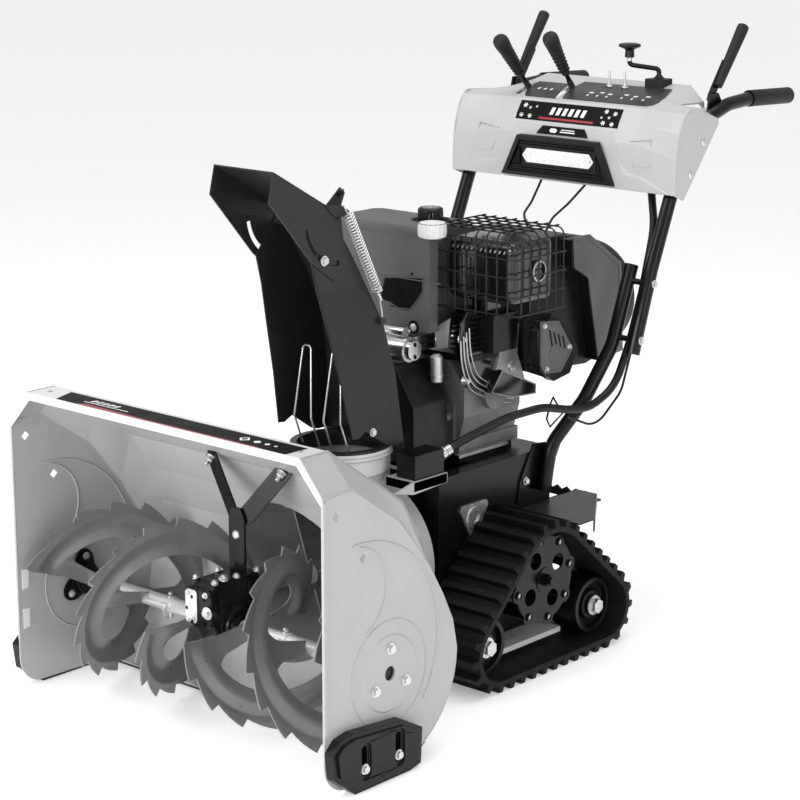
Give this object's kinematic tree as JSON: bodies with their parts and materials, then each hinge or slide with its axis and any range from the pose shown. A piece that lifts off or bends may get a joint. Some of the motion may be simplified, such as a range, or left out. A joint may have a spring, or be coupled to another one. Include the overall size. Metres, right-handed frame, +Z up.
{
  "type": "two stage snowblower",
  "caption": "Walk-behind tracked snowblower with ribbon augers, impeller, turning chute, engine and handlebars with a control panel.",
  "frame": {"origin": "centre of the bounding box's footprint, on the ground", "axes": "+Z up, -Y to the front where the augers are, +Y to the handle grips, +X to the operator's left"},
  "size_m": [0.853, 1.5716, 1.2123],
  "materials": {
    "grey_paint": "satin",
    "black_paint": "satin",
    "dark_steel": "satin metallic",
    "graphite": "satin",
    "black_plastic": "matte",
    "grey_plastic": "satin",
    "dark_plastic": "satin",
    "zinc": "bright",
    "steel": "worn",
    "cast_aluminium": "cast",
    "track_rubber": "matte",
    "grip_rubber": "matte",
    "cable_skin": "satin",
    "lens": "clear",
    "wire_black": "gloss"
  },
  "bodies": {
    "machine": {"housing_shell": "grey_paint", "side_plate_left": "grey_paint", "side_plate_right": "grey_paint", "scraper_bar": "steel", "fan_housing": "black_paint", "skid_shoes": "black_plastic", "housing_bolts": "zinc", "auger_bearings": "black_paint", "gearbox_case": "black_paint", "gearbox_brace": "black_paint", "chute_drive_box": "black_paint", "flex_shaft": "cable_skin", "control_cables": "cable_skin", "track_left": "track_rubber", "track_right": "track_rubber", "track_frames": "black_paint", "track_guards": "black_paint", "tractor_body": "graphite", "side_bearings": "zinc", "belt_cover": "graphite", "engine_block": "cast_aluminium", "engine_cylinder": "black_paint", "muffler": "black_paint", "muffler_guard": "wire_black", "fuel_tank": "dark_plastic", "side_cover": "black_plastic", "recoil_housing": "black_paint", "electric_starter": "zinc", "handlebar_left": "black_paint", "handlebar_right": "black_paint", "grips": "grip_rubber", "frame_bolts": "zinc", "control_panel": "grey_plastic", "work_lamp": "black_plastic", "lamp_lens": "lens"},
    "auger": {"auger_shaft": "steel", "auger_left": "dark_steel", "auger_right": "dark_steel", "shear_pins": "zinc"},
    "impeller": {"impeller_shaft": "steel", "impeller": "dark_steel"},
    "chute": {"chute": "black_paint", "chute_fittings": "zinc", "deflector_spring": "zinc"},
    "deflector": {"deflector": "black_paint"},
    "crank": {"crank_arm": "black_paint"},
    "crank_knob": {"crank_knob": "black_plastic"},
    "clutch_lever_left": {"clutch_lever_left": "black_paint"},
    "clutch_lever_right": {"clutch_lever_right": "black_paint"},
    "speed_lever": {"speed_lever": "black_plastic"},
    "deflector_lever": {"deflector_lever": "black_plastic"},
    "switch_lamp": {"switch_lamp": "zinc"},
    "switch_heat": {"switch_heat": "zinc"},
    "sprocket_left": {"sprocket_left": "black_paint"},
    "sprocket_right": {"sprocket_right": "black_paint"},
    "idler_front_left": {"idler_front_left": "black_plastic"},
    "idler_front_right": {"idler_front_right": "black_plastic"},
    "idler_rear_left": {"idler_rear_left": "black_plastic"},
    "idler_rear_right": {"idler_rear_right": "black_plastic"},
    "fuel_cap": {"fuel_cap": "black_plastic"}
  },
  "joints": [
    {"name": "auger_spin", "type": "hinge", "parent": "machine", "child": "auger", "pos_m": [0, -0.616, 0.1845], "axis": [1, 0, 0], "continuous": true},
    {"name": "impeller_spin", "type": "hinge", "parent": "machine", "child": "impeller", "pos_m": [0, -0.616, 0.225], "axis": [0, 1, 0], "continuous": true},
    {"name": "crank_turn", "type": "hinge", "parent": "machine", "child": "crank", "pos_m": [0.12, 0.528, 1.084], "axis": [0, 0, 1], "range_deg": [-400, 400]},
    {"name": "crank_knob_spin", "type": "hinge", "parent": "crank", "child": "crank_knob", "pos_m": [0.08, 0.479, 1.14], "axis": [0, 0, 1], "continuous": true},
    {"name": "chute_turn", "type": "hinge", "parent": "machine", "child": "chute", "pos_m": [0, -0.308, 0.4554], "axis": [0, 0, 1], "range_deg": [-101, 101]},
    {"name": "deflector_tilt", "type": "hinge", "parent": "chute", "child": "deflector", "pos_m": [0, -0.392, 0.91], "axis": [1, 0, 0], "range_deg": [-24, 52], "deforming": ["deflector_spring"]},
    {"name": "clutch_left", "type": "hinge", "parent": "machine", "child": "clutch_lever_left", "pos_m": [0.249, 0.527, 1.065], "axis": [1, 0, 0], "range_deg": [-38, 0], "stiffness_Nm_per_rad": 1.5, "springref_deg": 28.65},
    {"name": "clutch_right", "type": "hinge", "parent": "machine", "child": "clutch_lever_right", "pos_m": [-0.249, 0.527, 1.065], "axis": [1, 0, 0], "range_deg": [-38, 0], "stiffness_Nm_per_rad": 1.5, "springref_deg": 28.65},
    {"name": "speed_select", "type": "hinge", "parent": "machine", "child": "speed_lever", "pos_m": [-0.16, 0.4726, 1.03971], "axis": [1, 0, 0], "range_deg": [-12, 6]},
    {"name": "deflector_select", "type": "hinge", "parent": "machine", "child": "deflector_lever", "pos_m": [-0.06, 0.49007, 1.04081], "axis": [1, 0, 0], "range_deg": [-6, 13]},
    {"name": "switch_lamp_tilt", "type": "hinge", "parent": "machine", "child": "switch_lamp", "pos_m": [0.02, 0.494, 1.074], "axis": [1, 0, 0], "range_deg": [-6, 6]},
    {"name": "switch_heat_tilt", "type": "hinge", "parent": "machine", "child": "switch_heat", "pos_m": [0.06, 0.494, 1.074], "axis": [1, 0, 0], "range_deg": [-6, 6]},
    {"name": "fuel_cap_turn", "type": "hinge", "parent": "machine", "child": "fuel_cap", "pos_m": [-0.029, -0.017, 0.8504], "axis": [0, 0, 1], "range_deg": [0, 120]},
    {"name": "sprocket_left_spin", "type": "hinge", "parent": "machine", "child": "sprocket_left", "pos_m": [0.215, -0.029, 0.182], "axis": [1, 0, 0], "continuous": true},
    {"name": "idler_front_left_spin", "type": "hinge", "parent": "machine", "child": "idler_front_left", "pos_m": [0.215, -0.187, 0.082], "axis": [1, 0, 0], "continuous": true},
    {"name": "idler_rear_left_spin", "type": "hinge", "parent": "machine", "child": "idler_rear_left", "pos_m": [0.215, 0.149, 0.082], "axis": [1, 0, 0], "continuous": true},
    {"name": "sprocket_right_spin", "type": "hinge", "parent": "machine", "child": "sprocket_right", "pos_m": [-0.215, -0.029, 0.182], "axis": [1, 0, 0], "continuous": true},
    {"name": "idler_front_right_spin", "type": "hinge", "parent": "machine", "child": "idler_front_right", "pos_m": [-0.215, -0.187, 0.082], "axis": [1, 0, 0], "continuous": true},
    {"name": "idler_rear_right_spin", "type": "hinge", "parent": "machine", "child": "idler_rear_right", "pos_m": [-0.215, 0.149, 0.082], "axis": [1, 0, 0], "continuous": true}
  ],
  "couplings": [
    {"joint": "impeller_spin", "follows": "auger_spin", "ratio": 15},
    {"joint": "chute_turn", "follows": "crank_turn", "ratio": 0.25},
    {"joint": "idler_front_left_spin", "follows": "sprocket_left_spin", "ratio": 1.7069},
    {"joint": "idler_rear_left_spin", "follows": "sprocket_left_spin", "ratio": 1.7069},
    {"joint": "idler_front_right_spin", "follows": "sprocket_right_spin", "ratio": 1.7069},
    {"joint": "idler_rear_right_spin", "follows": "sprocket_right_spin", "ratio": 1.7069}
  ]
}
